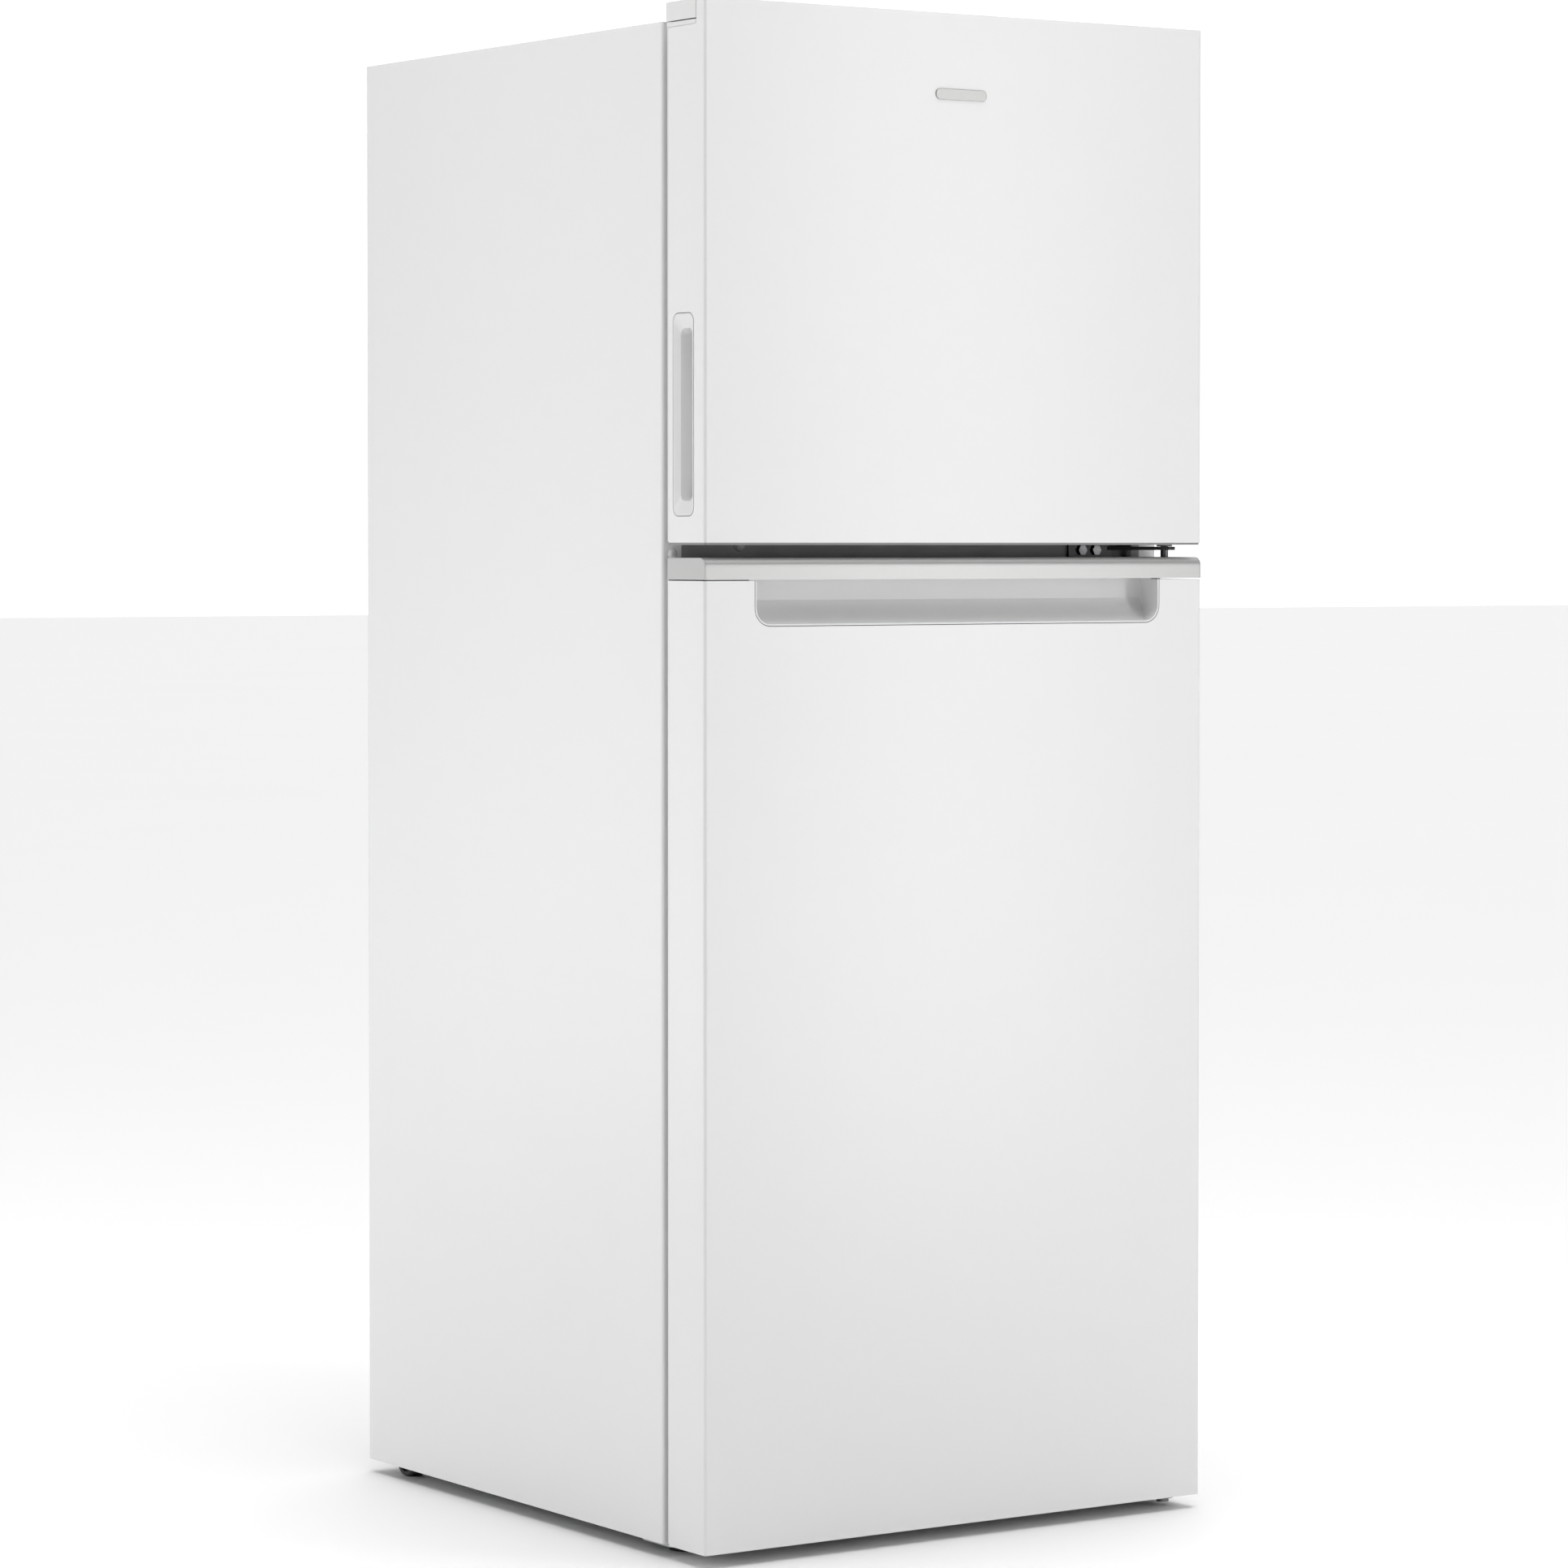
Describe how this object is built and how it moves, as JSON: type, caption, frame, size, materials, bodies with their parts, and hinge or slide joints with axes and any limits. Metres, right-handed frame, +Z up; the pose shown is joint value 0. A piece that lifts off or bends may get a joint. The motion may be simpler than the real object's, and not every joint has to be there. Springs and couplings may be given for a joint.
{
  "type": "top freezer refrigerator",
  "caption": "Upright white refrigerator with a freezer compartment above a larger fresh-food compartment, right-hung doors, a silver pull strip and full interior fittings.",
  "frame": {"origin": "on the floor, under the centre of the bounding box", "axes": "+Z up, -Y the side with the doors, +X to the right seen from the doors"},
  "size_m": [0.605, 0.687, 1.514],
  "materials": {
    "enamel": "satin white enamel",
    "silver_plastic": "satin silver moulding",
    "badge_metal": "satin metal",
    "white_plastic": "smooth white moulding",
    "liner_plastic": "smooth thermoformed white",
    "grip_plastic": "fine matt light grey",
    "gasket": "soft matt grey vinyl",
    "foam": "cream rigid foam",
    "galvanised": "zinc-plated sheet",
    "dark_rail": "grey rail",
    "zinc": "bright zinc plate",
    "steel_black": "black enamel",
    "aluminium": "thin rolled aluminium",
    "wire": "white epoxy-coated wire",
    "clear_plastic": "clear polystyrene",
    "glass": "tempered pane",
    "lens": "frosted lens",
    "dark_plastic": "black moulding",
    "grey_plastic": "grey moulding",
    "rubber": "black rubber",
    "motor": "dark motor casing"
  },
  "bodies": {
    "cabinet": {"side_panel_left": "enamel", "side_panel_right": "enamel", "top_panel": "enamel", "back_panel": "galvanised", "base_pan": "galvanised", "cabinet_foam": "foam", "freezer_liner": "liner_plastic", "fridge_liner": "liner_plastic", "center_rail": "dark_rail", "screw_hole_plugs": "white_plastic", "top_hinge_bracket": "zinc", "top_hinge_cover": "white_plastic", "center_hinge_bracket": "steel_black", "bottom_hinge_bracket": "zinc", "hinge_pins_and_screws": "zinc", "freezer_shelf": "wire", "evaporator_cover": "white_plastic", "evaporator": "aluminium", "fan_motors": "motor", "shelf_frames": "white_plastic", "glass_panes": "glass", "control_housing": "white_plastic", "led_lens": "lens", "air_duct": "white_plastic", "compressor_plate": "galvanised", "compressor": "steel_black", "compressor_grommets": "rubber", "condenser_coil": "steel_black", "drain_pan": "dark_plastic", "rear_cover": "galvanised", "supply_gland": "dark_plastic", "wall_spacers": "dark_plastic"},
    "freezer_door": {"freezer_door_skin": "enamel", "badge": "badge_metal", "freezer_door_top_cap": "white_plastic", "freezer_door_bottom_cap": "grey_plastic", "hinge_recess_cover": "white_plastic", "freezer_handle_pocket": "grip_plastic", "freezer_door_foam": "foam", "freezer_door_liner": "liner_plastic", "freezer_door_gasket": "gasket", "freezer_door_bins": "clear_plastic"},
    "fridge_door": {"fridge_door_skin": "enamel", "fridge_door_trim": "silver_plastic", "trim_end_caps": "silver_plastic", "fridge_handle_pocket": "grip_plastic", "fridge_door_bottom_cap": "white_plastic", "fridge_door_foam": "foam", "fridge_door_liner": "liner_plastic", "fridge_door_gasket": "gasket", "fridge_door_bins": "clear_plastic"},
    "crisper": {"crisper_drawer": "clear_plastic"},
    "sliding_bin": {"flexi_bin": "clear_plastic"},
    "dial": {"temperature_dial": "white_plastic"},
    "freezer_fan": {"evaporator_fan": "dark_plastic"},
    "rear_fan": {"condenser_fan": "dark_plastic"},
    "foot_left": {"levelling_foot_left": "dark_plastic"},
    "foot_right": {"levelling_foot_right": "dark_plastic"},
    "wheel_left": {"roller_left": "dark_plastic"},
    "wheel_right": {"roller_right": "dark_plastic"}
  },
  "joints": [
    {"name": "freezer_door_hinge", "type": "hinge", "parent": "cabinet", "child": "freezer_door", "pos_m": [0.2815, -0.3085, 1.238], "axis": [0, 0, 1], "range_deg": [0, 110]},
    {"name": "fridge_door_hinge", "type": "hinge", "parent": "cabinet", "child": "fridge_door", "pos_m": [0.2815, -0.3085, 0.488], "axis": [0, 0, 1], "range_deg": [0, 110]},
    {"name": "crisper_slide", "type": "slide", "parent": "cabinet", "child": "crisper", "axis": [0, -1, 0], "range_m": [0, 0.075]},
    {"name": "sliding_bin_slide", "type": "slide", "parent": "cabinet", "child": "sliding_bin", "axis": [-1, 0, 0], "range_m": [0, 0.29]},
    {"name": "temperature_dial_turn", "type": "hinge", "parent": "cabinet", "child": "dial", "pos_m": [0.062, -0.2, 0.934], "axis": [0, -1, 0], "range_deg": [-135, 135]},
    {"name": "freezer_fan_spin", "type": "hinge", "parent": "cabinet", "child": "freezer_fan", "pos_m": [0, 0.208, 1.35], "axis": [0, 1, 0], "continuous": true},
    {"name": "rear_fan_spin", "type": "hinge", "parent": "cabinet", "child": "rear_fan", "pos_m": [0.024, 0.222, 0.116], "axis": [1, 0, 0], "continuous": true},
    {"name": "foot_left_thread", "type": "hinge", "parent": "cabinet", "child": "foot_left", "pos_m": [-0.255, -0.237, 0.012], "axis": [0, 0, 1], "continuous": true},
    {"name": "foot_right_thread", "type": "hinge", "parent": "cabinet", "child": "foot_right", "pos_m": [0.255, -0.237, 0.012], "axis": [0, 0, 1], "continuous": true},
    {"name": "roller_left_spin", "type": "hinge", "parent": "cabinet", "child": "wheel_left", "pos_m": [-0.275, 0.27, 0.02], "axis": [1, 0, 0], "continuous": true},
    {"name": "roller_right_spin", "type": "hinge", "parent": "cabinet", "child": "wheel_right", "pos_m": [0.275, 0.27, 0.02], "axis": [1, 0, 0], "continuous": true}
  ]
}
